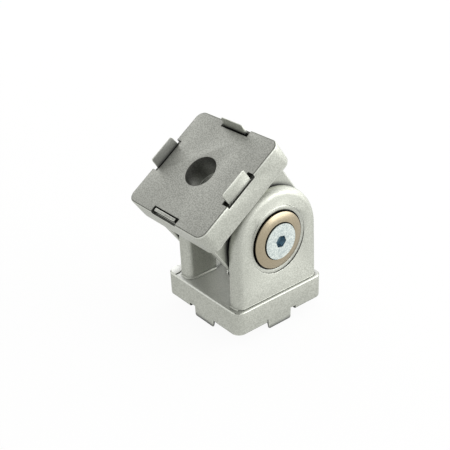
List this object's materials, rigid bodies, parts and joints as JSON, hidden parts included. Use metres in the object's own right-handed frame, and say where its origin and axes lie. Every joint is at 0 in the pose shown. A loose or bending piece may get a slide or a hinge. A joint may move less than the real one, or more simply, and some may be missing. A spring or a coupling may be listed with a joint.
{
  "type": "profile pivot joint",
  "caption": "Die-cast hinge for slotted square profile: matching halves with locating tabs turn on short clamped pivots and hold their angle by friction.",
  "frame": {"origin": "centre of the lower half's seating face, on its bolt hole's axis", "axes": "+Z out of the lower seat through its plate, +X along the pivot towards the lower half's outer ear, and the upper half leans towards -Y at rest"},
  "size_m": [0.03, 0.0399, 0.0537],
  "materials": {
    "casting": "tumbled satin",
    "ring": "turned, anodised bronze",
    "screw": "zinc plated",
    "insert": "turned",
    "washer": "plain"
  },
  "bodies": {
    "lower_half": {"lower_casting": "casting", "clamping_ring_left": "ring", "clamping_screw_left": "screw", "threaded_insert_left": "insert", "friction_washer_left": "washer"},
    "upper_half": {"upper_casting": "casting", "clamping_ring_right": "ring", "clamping_screw_right": "screw", "threaded_insert_right": "insert", "friction_washer_right": "washer"}
  },
  "joints": [
    {"name": "pivot_tilt", "type": "hinge", "parent": "lower_half", "child": "upper_half", "pos_m": [0, 0, 0.0223], "axis": [1, 0, 0], "range_deg": [-124.6, 55.4]}
  ]
}
